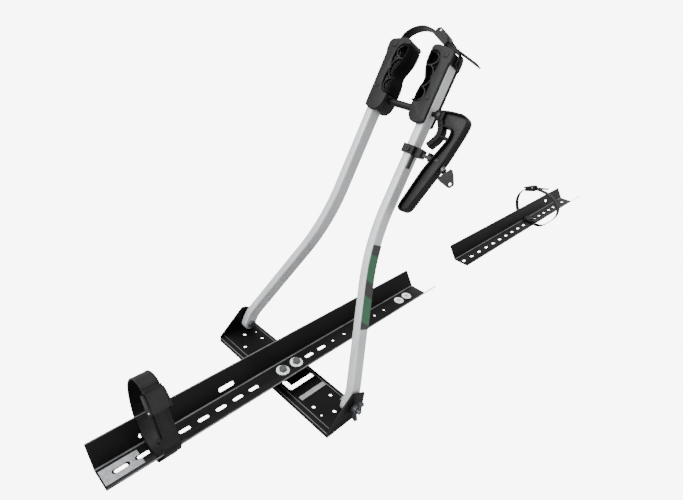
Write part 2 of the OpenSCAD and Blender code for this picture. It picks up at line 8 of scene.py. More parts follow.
# %% Load the frame
import json
import bpy
import bmesh
import numpy as np
from mathutils import Matrix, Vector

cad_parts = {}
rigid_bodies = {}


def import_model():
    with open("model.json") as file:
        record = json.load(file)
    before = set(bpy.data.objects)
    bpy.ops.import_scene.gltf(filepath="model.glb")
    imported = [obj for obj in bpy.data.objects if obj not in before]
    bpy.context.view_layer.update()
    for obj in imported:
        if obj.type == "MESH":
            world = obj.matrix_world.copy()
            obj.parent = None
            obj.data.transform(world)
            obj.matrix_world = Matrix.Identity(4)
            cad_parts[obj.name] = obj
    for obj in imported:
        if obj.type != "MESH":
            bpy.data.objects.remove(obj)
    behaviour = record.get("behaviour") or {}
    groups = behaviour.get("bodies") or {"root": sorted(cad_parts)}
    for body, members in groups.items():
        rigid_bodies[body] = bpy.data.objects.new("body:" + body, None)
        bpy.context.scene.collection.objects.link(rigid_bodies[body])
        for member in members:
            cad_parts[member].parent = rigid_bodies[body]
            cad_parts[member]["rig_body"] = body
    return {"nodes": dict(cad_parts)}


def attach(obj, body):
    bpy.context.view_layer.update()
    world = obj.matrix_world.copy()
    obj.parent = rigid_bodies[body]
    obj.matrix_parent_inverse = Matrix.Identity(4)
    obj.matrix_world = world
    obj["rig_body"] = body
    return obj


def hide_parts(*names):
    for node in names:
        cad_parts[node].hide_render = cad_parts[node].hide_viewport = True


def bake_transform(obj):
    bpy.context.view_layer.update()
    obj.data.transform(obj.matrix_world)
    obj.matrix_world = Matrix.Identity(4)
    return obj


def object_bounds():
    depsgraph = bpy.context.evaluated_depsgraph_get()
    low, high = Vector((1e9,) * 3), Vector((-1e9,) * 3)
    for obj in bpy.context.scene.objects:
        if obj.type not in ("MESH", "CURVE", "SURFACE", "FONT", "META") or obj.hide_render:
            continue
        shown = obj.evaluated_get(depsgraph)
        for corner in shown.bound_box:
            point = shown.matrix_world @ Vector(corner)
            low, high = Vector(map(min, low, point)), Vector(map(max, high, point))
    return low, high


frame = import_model()
cad_box = [list(map(float, corner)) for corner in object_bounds()]
print("CAD box", np.round(cad_box, 3).tolist())

# %% [markdown]
# ## Camera, floor and light
# The carrier is seen from above and from its front left corner, with a fairly wide lens. A camera
# in Blender looks along its own -Z with +Y up, so its matrix is built from three measured
# directions.
# The floor and the sky are a light table: white to the camera, but plain to everything else, so
# the black parts stay black. Large soft lights stand in for a studio.

# %% Camera
right = np.array([0.687153, -0.718085, 0.110339])
down = np.array([-0.291062, -0.411254, -0.863801])
forward = np.array([0.665661, 0.561448, -0.491602])
eye = np.array([-0.42636, -0.45446, 0.61307])

camera = bpy.data.objects.new("camera", bpy.data.cameras.new("camera"))
bpy.context.scene.collection.objects.link(camera)
turn = np.eye(4)
turn[:3, 0], turn[:3, 1], turn[:3, 2], turn[:3, 3] = right, -down, -forward, eye
camera.matrix_world = Matrix(turn.tolist())
camera.data.sensor_width = 36
camera.data.lens = 463.33 / 683 * 36
camera.data.clip_end = 400
bpy.context.scene.camera = camera
print("lens", round(camera.data.lens, 2), "mm")

# %% One function for every node of a material
def linear(code):
    """sRGB hex to linear RGBA: c/12.92 up to 0.04045, ((c + 0.055)/1.055)^2.4 above."""
    c = np.array([int(code[i:i + 2], 16) for i in (1, 3, 5)]) / 255
    low, high = c / 12.92, ((c + 0.055) / 1.055) ** 2.4
    return (*np.where(c <= 0.04045, low, high).tolist(), 1.0)


def add(material, kind, inputs=(), **settings):
    """Adds a node, sets its settings, and fills or links its inputs."""
    node = material.node_tree.nodes.new(kind)
    for key, value in settings.items():
        setattr(node, key, value)
    for key, value in dict(inputs).items():
        if isinstance(value, bpy.types.NodeSocket):
            material.node_tree.links.new(value, node.inputs[key])
        else:
            node.inputs[key].default_value = value
    return node


def begin(name):
    """A new material with no nodes but its Object coordinates, in metres."""
    material = bpy.data.materials.new(name)
    material.use_nodes = True
    material.node_tree.nodes.clear()
    return material, add(material, "ShaderNodeTexCoord").outputs["Object"]


def blend_colours(material, share, first, second):
    """Colour = first * (1 - share) + second * share."""
    mix = add(material, "ShaderNodeMix", {0: share, 6: first, 7: second}, data_type="RGBA")
    return mix.outputs[2]


def close(material, colour, roughness, height, relief_mm, **constants):
    """Ends a material in one Principled shader; relief_mm is the depth of its height pattern."""
    bump = add(material, "ShaderNodeBump", {"Height": height, "Distance": relief_mm / 1000})
    shader = add(material, "ShaderNodeBsdfPrincipled",
                 {"Base Color": colour, "Roughness": roughness, "Normal": bump.outputs[0],
                  **constants})
    add(material, "ShaderNodeOutputMaterial", {"Surface": shader.outputs[0]})
    return material

# %% Floor and lights
floor_z = cad_box[0][2] - 0.0005
far = 150.0
floor_mesh = bpy.data.meshes.new("floor")
floor_mesh.from_pydata([(-far, -far, floor_z), (far, -far, floor_z), (far, far, floor_z),
                        (-far, far, floor_z)], [], [(0, 1, 2, 3)])
floor = bpy.data.objects.new("floor", floor_mesh)
bpy.context.scene.collection.objects.link(floor)

paper, spot = begin("light_table")
drift = add(paper, "ShaderNodeTexNoise", {"Vector": spot, "Scale": 0.8}).outputs[0]
sheet = add(paper, "ShaderNodeBsdfDiffuse",
            {"Color": blend_colours(paper, drift, linear("#9a9a9a"), linear("#a2a2a2"))})
glow = add(paper, "ShaderNodeEmission", {"Color": linear("#ffffff"), "Strength": 8.0})
seen = add(paper, "ShaderNodeLightPath").outputs["Is Camera Ray"]
both = add(paper, "ShaderNodeMixShader", {0: seen, 1: sheet.outputs[0], 2: glow.outputs[0]})
add(paper, "ShaderNodeOutputMaterial", {"Surface": both.outputs[0]})
floor_mesh.materials.append(paper)

world = bpy.data.worlds.new("studio")
bpy.context.scene.world = world
world.use_nodes = True
sky = world.node_tree.nodes["Background"]
sky.inputs["Color"].default_value = linear("#ffffff")
sky.inputs["Strength"].default_value = 1.5
horizon = world.node_tree.nodes.new("ShaderNodeBackground")
horizon.inputs["Color"].default_value = linear("#ffffff")
horizon.inputs["Strength"].default_value = 8.0
pick = world.node_tree.nodes.new("ShaderNodeMixShader")
ray = world.node_tree.nodes.new("ShaderNodeLightPath")
for out, into in ((ray.outputs["Is Camera Ray"], pick.inputs[0]), (sky.outputs[0], pick.inputs[1]),
                  (horizon.outputs[0], pick.inputs[2]),
                  (pick.outputs[0], world.node_tree.nodes["World Output"].inputs[0])):
    world.node_tree.links.new(out, into)


def soft_light(name, place, aim, size, watts):
    """A square area light at place, turned so that its -Z meets aim."""
    light = bpy.data.objects.new(name, bpy.data.lights.new(name, "AREA"))
    light.data.size, light.data.energy = size, watts
    back = np.subtract(place, aim) / np.linalg.norm(np.subtract(place, aim))
    side = np.cross([0, 0, 1], back)
    side /= np.linalg.norm(side)
    m = np.eye(4)
    m[:3, 0], m[:3, 1], m[:3, 2], m[:3, 3] = side, np.cross(back, side), back, place
    light.matrix_world = Matrix(m.tolist())
    bpy.context.scene.collection.objects.link(light)


middle = (0.4, 0.0, 0.2)
soft_light("key", (-1.6, 0.5, 1.9), middle, 1.6, 95)
soft_light("fill", (0.6, -2.2, 1.2), middle, 2.0, 26)
soft_light("top", (0.6, 0.4, 2.6), middle, 2.4, 55)
print("floor at", round(floor_z, 4))

# %% [markdown]
# ## Finishes
# Each finish starts from what it is and how its surface was made. Powder coat is a baked film with
# a fine orange peel. Aluminium tube is brushed along its length, then anodised. Zinc plate is bright
# with a faint spangle. Mouldings carry the spark-eroded texture of their tool, and rubber is matt.
# All patterns read Object coordinates in metres, so 1/scale is a real length.

# %% A finish made of a slow drift and a fine grain
def grained(name, dark, light, grain_mm, relief_mm, rough, patch_mm=45, stretch=(1, 1, 1),
            wear=0.0, **constants):
    """Colour drifts between two tones over patch_mm, with a grain of grain_mm in relief.
    Roughness = rough[0] + (rough[1] - rough[0]) * grain. Wear mixes in sparse pale dust."""
    material, spot = begin(name)
    spot = add(material, "ShaderNodeMapping", {"Vector": spot, "Scale": stretch}).outputs[0]
    patch = add(material, "ShaderNodeTexNoise",
                {"Vector": spot, "Scale": 1000 / patch_mm, "Detail": 3.0}).outputs[0]
    grain = add(material, "ShaderNodeTexNoise",
                {"Vector": spot, "Scale": 1000 / grain_mm, "Detail": 2.0}).outputs[0]
    share = add(material, "ShaderNodeMapRange", {0: patch, 1: 0.35, 2: 0.65}).outputs[0]
    colour = blend_colours(material, share, linear(dark), linear(light))
    if wear:
        dust = add(material, "ShaderNodeTexNoise",
                   {"Vector": spot, "Scale": 1000 / (grain_mm * 2.5), "Detail": 6.0}).outputs[0]
        dust = add(material, "ShaderNodeMapRange", {0: dust, 1: 0.6, 2: 0.8, 4: wear}).outputs[0]
        colour = blend_colours(material, dust, colour, linear("#8a8c8e"))
    roughness = add(material, "ShaderNodeMapRange",
                    {0: grain, 1: 0.3, 2: 0.7, 3: rough[0], 4: rough[1]}).outputs[0]
    return close(material, colour, roughness, grain, relief_mm, **constants)

# %% Metals and films
powder_coat = grained("black_powder_coated_steel", "#030303", "#060606", 1.6, 0.04, (0.34, 0.48),
                      patch_mm=90, wear=0.01, **{"Specular IOR Level": 0.07})
# Pale grey coat: a painted highlight for the light caught by folded rims and bends.
painted_highlight_edge = grained("powder_coat_painted_highlight_on_folded_edge", "#2c2d2e", "#4a4c4e", 1.8, 0.02, (0.3, 0.42),
                    patch_mm=30)
aluminium = grained("brushed_anodised_aluminium", "#a4a6a8", "#b2b4b6", 1.2, 0.01, (0.34, 0.5),
                    patch_mm=16, stretch=(0.1, 1, 0.06), Metallic=0.35)
zinc = grained("bright_zinc_plated_steel", "#d6d7d8", "#e2e3e4", 1.4, 0.004, (0.28, 0.4),
               patch_mm=9, Metallic=0.2)
bolt_zinc = grained("dull_zinc_plated_bolt_head", "#37393b", "#4c4e51", 1.2, 0.006, (0.3, 0.45),
                    patch_mm=6, Metallic=0.6)
black_zinc = grained("black_zinc_plated_steel", "#0c0c0d", "#161617", 1.2, 0.01, (0.3, 0.45),
                     patch_mm=6, Metallic=0.7)
tongue_steel = grained("grey_phosphated_steel", "#141415", "#1e1e20", 1.1, 0.01, (0.4, 0.55),
                       patch_mm=9, Metallic=0.6)
silver_film = grained("silver_polyester_label", "#707274", "#86888a", 2.0, 0.01, (0.3, 0.45),
                      patch_mm=7, Metallic=0.3)

# %% Mouldings, straps and rubber
moulded = grained("black_glass_filled_nylon", "#0d0d0e", "#131314", 1.3, 0.04, (0.42, 0.58),
                  patch_mm=22, **{"Specular IOR Level": 0.16})
lever_nylon = grained("satin_black_nylon", "#040404", "#080808", 1.3, 0.03, (0.36, 0.5),
                      patch_mm=25, **{"Specular IOR Level": 0.08})
# Same black nylon as the lever's walls, in a lighter grey: painted light on the lit front web.
lit_web_nylon = grained("black_nylon_painted_lighter_as_lit", "#121213", "#1a1a1b", 1.3, 0.03, (0.4, 0.52),
                    patch_mm=20, **{"Specular IOR Level": 0.16})
dark_moulding = grained("dark_grey_acetal", "#0d0d0e", "#141416", 1.2, 0.03, (0.4, 0.55),
                        patch_mm=14, **{"Specular IOR Level": 0.16})
pad_rubber = grained("black_moulded_rubber", "#060606", "#0c0c0c", 1.5, 0.06, (0.6, 0.8),
                     patch_mm=18, **{"Specular IOR Level": 0.04})
strap_polymer = grained("black_flexible_strap_polymer", "#060607", "#0c0c0d", 1.2, 0.03,
                        (0.36, 0.52), patch_mm=12, **{"Specular IOR Level": 0.14})
print("finishes", [m.name for m in bpy.data.materials])

# %% [markdown]
# ## Striped film
# The film on the right arm is printed in black and green in slanting stripes. A Wave texture of
# straight bands along the tube gives them, and noise makes the print's edge a little uneven.

# %% Striped film
film, spot = begin("printed_vinyl_film")
slant = add(film, "ShaderNodeMapping", {"Vector": spot, "Rotation": (0, 0.9, 0.5)}).outputs[0]
stripes = add(film, "ShaderNodeTexWave", {"Vector": slant, "Scale": 7.0, "Distortion": 1.5,
                                          "Detail": 1.0}).outputs[0]
share = add(film, "ShaderNodeMapRange", {0: stripes, 1: 0.25, 2: 0.33}).outputs[0]
film_colour = blend_colours(film, share, linear("#020403"), linear("#004528"))
film_grain = add(film, "ShaderNodeTexNoise", {"Vector": spot, "Scale": 900.0}).outputs[0]
film = close(film, film_colour, 0.35, film_grain, 0.01)

# %% [markdown]
# ## Finishes for the exact parts
# A CAD part whose shape is right only gets its material.

# %% Give each CAD part its finish
finish_of = {
    powder_coat: ["base_plate", "main_tray", "extension_tray"],
    aluminium: ["left_arm", "right_arm"],
    zinc: ["tray_washers", "tray_nuts", "joiner_nuts", "front_buckle_pin", "rear_buckle_pin",
           "top_buckle_pin", "pivot_washers", "rod_nut"],
    bolt_zinc: ["tray_bolts", "pivot_bolts", "left_wing_nut", "right_wing_nut",
                "lock_barrel"],
    black_zinc: ["cradle_screws", "keeper_screw", "jaw_screws", "collar_screw", "lever_pin",
                 "strap_rivet"],
    tongue_steel: ["lock_tongue", "draw_rod"],
    silver_film: ["tray_label", "base_label"],
    moulded: ["wheel_cradle", "front_buckle", "rear_buckle", "top_buckle", "strap_keeper",
              "left_jaw", "right_jaw", "lever_collar"],
    lever_nylon: ["lever_handle"],
    dark_moulding: ["front_buckle_lever", "rear_buckle_lever", "top_buckle_lever", "key",
                    "tongue_knob", "rod_sleeve"],
    pad_rubber: ["left_jaw_pad", "right_jaw_pad"],
    strap_polymer: ["front_strap", "rear_strap", "top_strap"],
    film: ["arm_sticker"],
}
for material, names in finish_of.items():
    for name in names:
        mesh = frame["nodes"][name].data
        mesh.materials.clear()
        mesh.materials.append(material)
print("dressed", sum(map(len, finish_of.values())), "CAD parts of", len(frame["nodes"]))

# %% [markdown]
# ## Surfaces worked out as arrays
# Nearly every new piece is one outline carried along one flat path: a tube, a strap, a lever. Three
# spaces place them: the arms' leaning space, and the two trays' cross-sections. A path lives in
# [across, up], and the section adds an offset to the path's left and a place along the width.

# %% Spaces, in millimetres in and metres out
lean = np.radians(25)


def in_arms(w, y, s):
    """Arms' space: X = 18 + w cos(lean) + s sin(lean), Z = 18 - w sin(lean) + s cos(lean)."""
    w, y, s = np.broadcast_arrays(w, y, s)
    return np.stack([18 + w * np.cos(lean) + s * np.sin(lean), y,
                     18 - w * np.sin(lean) + s * np.cos(lean)], -1) / 1000


def in_mirror(w, y, s):
    """Arms' space with left and right swapped."""
    return in_arms(w, -np.asarray(y), s)


def in_front(w, y, z):
    """Cross-section of the main tray at the front strap, heights above the tray's floor."""
    w, y, z = np.broadcast_arrays(w, y, z)
    return np.stack([w - 242.5, y, z + 4.6], -1) / 1000


def in_rear(w, y, z):
    """Cross-section of the extension at the rear strap, heights above its floor."""
    w, y, z = np.broadcast_arrays(w, y, z)
    return np.stack([w + 1060, y, z + 8.5], -1) / 1000

# %% Paths and outlines
def spaced(points, step, closed=False):
    """Points at even distances of about step along a polyline."""
    p = np.asarray(points, float)
    if closed:
        p = np.vstack([p, p[:1]])
    along = np.r_[0, np.cumsum(np.hypot(*np.diff(p, axis=0).T))]
    count = max(int(round(along[-1] / step)), 2)
    at = np.linspace(0, along[-1], count + 1)[:count + (not closed)]
    return np.stack([np.interp(at, along, p[:, i]) for i in (0, 1)], 1)


def curve(points, step, closed=False):
    """Catmull-Rom: q(t) = (2b + (c-a)t + (2a-5b+4c-d)t^2 + (3b-a-3c+d)t^3) / 2, then even steps."""
    p = np.asarray(points, float)
    if closed:
        a, b, c, d = (np.roll(p, k, 0) for k in (1, 0, -1, -2))
    else:
        p = np.vstack([2 * p[0] - p[1], p, 2 * p[-1] - p[-2]])
        a, b, c, d = p[:-3], p[1:-2], p[2:-1], p[3:]
    t = np.linspace(0, 1, 12, endpoint=False)[None, :, None]
    a, b, c, d = (v[:, None] for v in (a, b, c, d))
    q = 0.5 * (2 * b + (c - a) * t + (2 * a - 5 * b + 4 * c - d) * t ** 2
               + (3 * b - a - 3 * c + d) * t ** 3)
    q = q.reshape(-1, 2)
    return spaced(q if closed else np.vstack([q, p[-2:-1]]), step, closed)


def rounded(points, step=1.5, passes=3):
    """A closed outline, anticlockwise, whose corners are rounded by averaging neighbours."""
    q = spaced(points, step, closed=True)
    for _ in range(passes):
        q = 0.5 * q + 0.25 * (np.roll(q, 1, 0) + np.roll(q, -1, 0))
    area = np.sum(q[:, 0] * np.roll(q[:, 1], -1) - np.roll(q[:, 0], -1) * q[:, 1])
    return q if area > 0 else q[::-1]


def lefts(path, closed):
    """Unit vectors to the left of a path at each point."""
    ahead = np.roll(path, -1, 0) - np.roll(path, 1, 0) if closed else np.gradient(path, axis=0)
    ahead = ahead / np.hypot(ahead[:, 0], ahead[:, 1])[:, None]
    return np.stack([-ahead[:, 1], ahead[:, 0]], 1)


# %% Grids of points to closed shells
def shell(grid, closed=False):
    """Vertices and faces of rings of points: quads between rings, and a cap at each open end."""
    m, k = grid.shape[:2]
    i, j = np.arange(m if closed else m - 1)[:, None], np.arange(k)[None]
    nxt = (i + 1) % m
    quads = np.stack(np.broadcast_arrays(i * k + j, i * k + (j + 1) % k, nxt * k + (j + 1) % k,
                                         nxt * k + j), -1).reshape(-1, 4)
    faces = quads.tolist()
    if not closed:
        faces += [list(range(k))[::-1], list(range((m - 1) * k, m * k))]
    verts = grid.reshape(-1, 3)
    a, b, c, d = (verts[quads[:, n]] - verts.mean(0) for n in range(4))
    volume = np.einsum("ij,ij->", a, np.cross(b, c)) + np.einsum("ij,ij->", a, np.cross(c, d))
    return verts, faces if volume > 0 else [f[::-1] for f in faces]


def carried(path, section, space, closed=False, tip=0.0):
    """A section of [left, width] points carried along a path. Tip draws each open end in by that
    many millimetres, as a small chamfer."""
    left = lefts(path, closed)
    section = np.broadcast_to(section, (len(path), *np.shape(section)[-2:]))
    yz = path[:, None] + section[..., :1] * left[:, None]
    grid = space(section[..., 1], yz[..., 0], yz[..., 1])
    if tip:
        def drawn(ring, inner):
            centre = ring.mean(0)
            out = centre - inner.mean(0)
            out = out / np.linalg.norm(out) * tip / 1000
            arm = ring - centre
            size = np.linalg.norm(arm, axis=1, keepdims=True)
            return centre + arm * (1 - tip / 1000 / size) + out
        grid = np.concatenate([drawn(grid[0], grid[1])[None], grid,
                               drawn(grid[-1], grid[-2])[None]])
    return shell(grid, closed)


def slab(outline, w0, w1, edge, space):
    """A plate of an outline between two widths, its rims rounded by edge: at angle a the ring is
    drawn in by edge (1 - sin a) and stands edge (1 - cos a) from the face."""
    inward = lefts(outline, True)
    a = np.linspace(0, np.pi / 2, 4)
    draw = np.r_[edge * (1 - np.sin(a)), edge * (1 - np.sin(a[::-1]))]
    width = np.r_[w0 + edge * (1 - np.cos(a)), w1 - edge * (1 - np.cos(a[::-1]))]
    yz = outline[None] + draw[:, None, None] * inward[None]
    return shell(space(width[:, None], yz[..., 0], yz[..., 1]))


def circle(centre, radius, count=32):
    """Points on a circle, anticlockwise."""
    a = np.linspace(0, 2 * np.pi, count, endpoint=False)
    return np.asarray(centre) + radius * np.stack([np.cos(a), np.sin(a)], 1)


# %% A piece from its shells
def piece(name, shells, material, body, replaced=(), crease=38):
    """One mesh object of one or more shells, shaded smooth below the crease angle."""
    verts = np.vstack([v for v, _ in shells])
    starts = np.cumsum([0] + [len(v) for v, _ in shells[:-1]])
    faces = [[start + n for n in f] for start, (_, fs) in zip(starts.tolist(), shells) for f in fs]
    mesh = bpy.data.meshes.new(name)
    mesh.from_pydata(verts.tolist(), [], faces)
    mesh.shade_smooth()
    mesh.set_sharp_from_angle(angle=np.radians(crease))
    mesh.materials.append(material)
    thing = bpy.data.objects.new(name, mesh)
    bpy.context.scene.collection.objects.link(thing)
    if body:
        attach(thing, body)
    if replaced:
        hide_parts(*replaced)
    print(name, len(verts), "vertices")
    return thing

# %% [markdown]
# ## Soft edges for sheet metal and small parts
# A folded or machined edge always has a small radius that catches the light. A copy of the exact
# part is welded, its flat triangles are joined to whole faces, and a Bevel rounds the edges.

# %% Copy an exact part with rounded edges
def softened(node, width_mm, segments=2):
    """The CAD part's copy with every edge sharper than 25 degrees rounded by width_mm."""
    source = frame["nodes"][node]
    mesh = source.data.copy()
    mesh.name = node + "_soft"
    bm = bmesh.new()
    bm.from_mesh(mesh)
    bmesh.ops.remove_doubles(bm, verts=bm.verts, dist=2e-6)
    bmesh.ops.dissolve_limit(bm, angle_limit=np.radians(0.6), verts=bm.verts, edges=bm.edges)
    bm.to_mesh(mesh)
    bm.free()
    mesh.shade_smooth()
    mesh.set_sharp_from_angle(angle=np.radians(32))
    thing = bpy.data.objects.new(node + "_soft", mesh)
    bpy.context.scene.collection.objects.link(thing)
    bevel = thing.modifiers.new("edge", "BEVEL")
    bevel.limit_method, bevel.angle_limit = "ANGLE", np.radians(25)
    bevel.width, bevel.segments, bevel.use_clamp_overlap = width_mm / 1000, segments, True
    bevel.harden_normals = True
    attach(thing, source["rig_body"])
    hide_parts(node)
    return thing


edge_of = {"base_plate": 0.6, "main_tray": 0.5, "extension_tray": 0.5, "tray_bolts": 0.5,
           "tray_washers": 0.3, "tray_nuts": 0.5, "joiner_nuts": 0.4, "wheel_cradle": 1.2,
           "cradle_screws": 0.4, "front_buckle": 0.7, "rear_buckle": 0.7, "top_buckle": 0.7,
           "front_buckle_lever": 0.7, "rear_buckle_lever": 0.7, "top_buckle_lever": 0.6,
           "strap_keeper": 0.8, "pivot_bolts": 0.5, "left_wing_nut": 0.6, "right_wing_nut": 0.6,
           "rod_nut": 0.5, "lever_collar": 1.0, "lock_tongue": 0.5, "tongue_knob": 0.7,
           "lock_barrel": 0.5, "key": 0.6, "collar_screw": 0.4}
for node, width in edge_of.items():
    softened(node, width)
print("softened", len(edge_of), "parts")

# %% [markdown]
# ## Folded edges of the trays
# Sheet that is cut and folded keeps a rolled rim and a rounded bend, and both catch the light.
# The pale grey lines along the trays and the base plate are a painted highlight for that light.
# Each is a small section carried straight along.

# %% Rims and bends
def strip(along, ring, axis):
    """A section [across, up] in mm, carried straight along one axis: 0 is X and 1 is Y."""
    parts = [along[:, None], ring[None, :, 0]][::1 if axis == 0 else -1]
    return shell(np.stack(np.broadcast_arrays(*parts, ring[None, :, 1]), -1) / 1000)


slope = np.arctan2(31.5, 22.3)
sheet_half = 0.8
rim_at = np.array([41 + sheet_half * np.sin(slope), 31.5 - sheet_half * np.cos(slope)])
rim_ring = circle(rim_at, 1.15, 14)
bend_ring = np.array([(17.3, -0.3), (18.0, 0.12), (18.8, 0.45), (19.35, 0.95), (19.7, 1.6),
                      (19.6, 0.9), (18.7, -0.3)])
# Rims and bends of both trays, in the pale painted highlight coat.
for name, body, x0, x1, z, notch in (("main_tray", "base", -325, 415, 4.6, 8),
                                     ("extension_tray", "extension", 612, 1386, 8.5, 26)):
    lines = []
    for sign in (-1, 1):
        rim_start = x0 + 0.5 + (notch if sign < 0 else 0)
        lines.append(strip(np.linspace(rim_start, x1 - 0.5, 40), rim_ring * (sign, 1) + (0, z), 0))
        lines.append(strip(np.linspace(x0 + 0.5, x1 - 0.5, 40), bend_ring * (sign, 1) + (0, z), 0))
    piece(f"{name}_edges", lines, painted_highlight_edge, body)

plate_along = np.linspace(-147.5, 147.5, 30)
folds = [strip(plate_along, circle((x, z), radius, 12) * (sign, 1), 1)
         for sign in (-1, 1) for x, z, radius in ((39.6, -0.4, 0.85), (31.9, 2.6, 0.7))]
piece("base_plate_folds", folds, painted_highlight_edge, "base")

# %% [markdown]
# ## Arms
# Each arm is one aluminium tube with well rounded corners, bent twice. Its section is a rounded
# rectangle carried along the bent middle line. Below the foot bolt the tube ends in a half round,
# so the section's depth follows a circle there.

# %% The bent middle line
splay, low_r, high_r, foot_len, splay_len, top_y, top_s = np.radians(20), 60, 390, 10, 165, 52, 565
low_s = foot_len + low_r * np.sin(splay)
high_s = low_s + splay_len * np.cos(splay)
straight_s = high_s + high_r * np.sin(splay)
high_y = top_y + high_r * (1 - np.cos(splay))
low_y = high_y + splay_len * np.sin(splay)
foot_y = low_y + low_r * (1 - np.cos(splay))
a, b = np.linspace(0, splay, 12), np.linspace(np.pi + splay, np.pi, 40)
arm_line = np.vstack([
    np.stack([np.full(14, foot_y), -13 + 13 * np.sin(np.linspace(0.12, np.pi / 2, 14))], 1),
    np.stack([foot_y - low_r + low_r * np.cos(a), foot_len + low_r * np.sin(a)], 1),
    np.stack([top_y + high_r + high_r * np.cos(b), straight_s + high_r * np.sin(b)], 1),
    [[top_y, s] for s in np.linspace(straight_s + 20, top_s, 12)]])
tube = rounded([(-7.5, -13), (7.5, -13), (7.5, 13), (-7.5, 13)], 1.0, 12)
tube *= np.array([7.5, 13]) / np.abs(tube).max(0)
depth = np.sqrt(np.clip(1 - (np.clip(-arm_line[:, 1], 0, 13) / 13) ** 2, 0.004, 1))
sections = tube[None] * np.stack([np.ones_like(depth), depth], 1)[:, None]
print("foot at", round(foot_y, 1), "mm from the middle")

# %% Both arms
piece("left_arm_tube", [carried(arm_line, sections, in_arms)], aluminium, "arms",
      ["left_arm"], crease=60)
piece("right_arm_tube", [carried(arm_line, sections, in_mirror)], aluminium, "arms",
      ["right_arm"], crease=60)

# %% [markdown]
# ## Jaws
# Each jaw is a hard moulding that clips over its tube: a front wall and a back wall with the tube
# between them, open on the outside, under a closed cap. The rubber sits on the inside. Its front
# is open, with thin arched ribs between deep hollows, so it gives way round a frame tube.

# %% Outlines of the jaw, in [across, up the arms]
wall_line = rounded([(62.5, 556), (62.5, 571), (60.5, 574.5), (56, 577), (40, 580.5),
                     (30, 581.5), (23, 580), (20.3, 576), (20.3, 571.2), (37.4, 571.2),
                     (37.4, 489.8), (26, 489.8), (26, 478), (29, 467), (35, 460), (43, 458),
                     (52, 459), (60.5, 463), (60.5, 556)], 1.2, 4)
front_line = rounded([(62.5, 556), (62.5, 571), (60.5, 574.5), (56, 577), (40, 580.5),
                      (30, 581.5), (23, 580), (20.3, 576), (20.3, 571.2), (33, 571.2),
                      (39, 567), (42.5, 558), (43.5, 546), (41.5, 536), (38, 531), (42, 526),
                      (44, 516), (43.5, 504), (40, 494), (34, 489.8), (26, 489.8), (26, 478),
                      (29, 467), (35, 460), (43, 458), (52, 459), (60.5, 463), (60.5, 556)],
                     1.2, 3)
cap_line = rounded([(62.2, 568.2), (62.2, 570.8), (60.1, 574.1), (55.8, 576.6), (40, 580.1),
                    (30, 581.1), (23.4, 579.6), (20.8, 575.6), (20.8, 570.8)], 1.2, 2)
lip_line = rounded([(60, 556.5), (62.2, 556.5), (62.2, 569), (60, 569)], 0.6, 1)


def low_line(back):
    """Block under the rubber, from the draw rod's side to the channel's floor at back."""
    return rounded([(back, 460), (back, 489.8), (26.4, 489.8), (26.4, 478.2), (29.4, 467.4),
                    (35.2, 460.4)], 1.2, 2)


def rib_line(back):
    """Wall behind the rubber, up to the channel's floor."""
    return rounded([(37.4, 489), (back, 489), (back, 571.5), (37.4, 571.5)], 0.8, 1)


grip = curve([(26, 490), (26, 505), (27.5, 514), (29.5, 521), (29.5, 528), (26.5, 535),
              (22.5, 545), (20, 557), (20, 571)], 1.5)
pad_line = rounded(np.vstack([grip, [(37.4, 571), (37.4, 490)]]), 1.2, 2)


def arch(centre, high, deep):
    """Half an ellipse towards the housing: (y, s) = centre + (deep cos a, high sin a)."""
    a = np.linspace(-np.pi / 2, np.pi / 2, 24)
    return np.stack([centre[0] + deep * np.cos(a), centre[1] + high * np.sin(a)], 1)


flat_rib = np.array([(-0.8, -18.4), (0.8, -18.4), (0.8, -13.6), (-0.8, -13.6)])
arches = [arch((23, 559), 11, 17), arch((29, 531), 17, 12.5), arch((27, 503), 12, 14)]
rim = np.array([(-1.3, -18.9), (1.3, -18.9), (1.3, -6), (-1.3, -6)])

# %% Both jaws
for side, space, body, back in (("left", in_arms, "left_clamp", 39.4),
                                ("right", in_mirror, "arms", 44.3)):
    walls = [slab(front_line, -20, -13.4, 1.6, space), slab(wall_line, 13.4, 18, 1.6, space),
             slab(low_line(back), -16, 16, 0.5, space), slab(rib_line(back), -6, 16, 0.3, space),
             slab(cap_line, -16, 16, 0.5, space), slab(lip_line, -14, 14, 0.3, space)]
    bosses = [slab(circle(c, r), -21.0, -18, 0.8, space)
              for c, r in (((50, 568), 5.0), ((50, 500), 4.5))]
    piece(f"{side}_jaw_housing", walls + bosses, moulded, body,
          [f"{side}_jaw"])
    pad = [slab(pad_line, -6, 17, 0.8, space),
           carried(grip + (1.6, 0), rim, space, tip=0.3)]
    pad += [carried(spaced([(23, s), (37, s)], 2), rim, space) for s in (569.2, 491.6)]
    piece(f"{side}_jaw_rubber", pad, pad_rubber, body, [f"{side}_jaw_pad"])
    piece(f"{side}_jaw_ribs", [carried(line, flat_rib, space) for line in arches],
          dark_moulding, body)
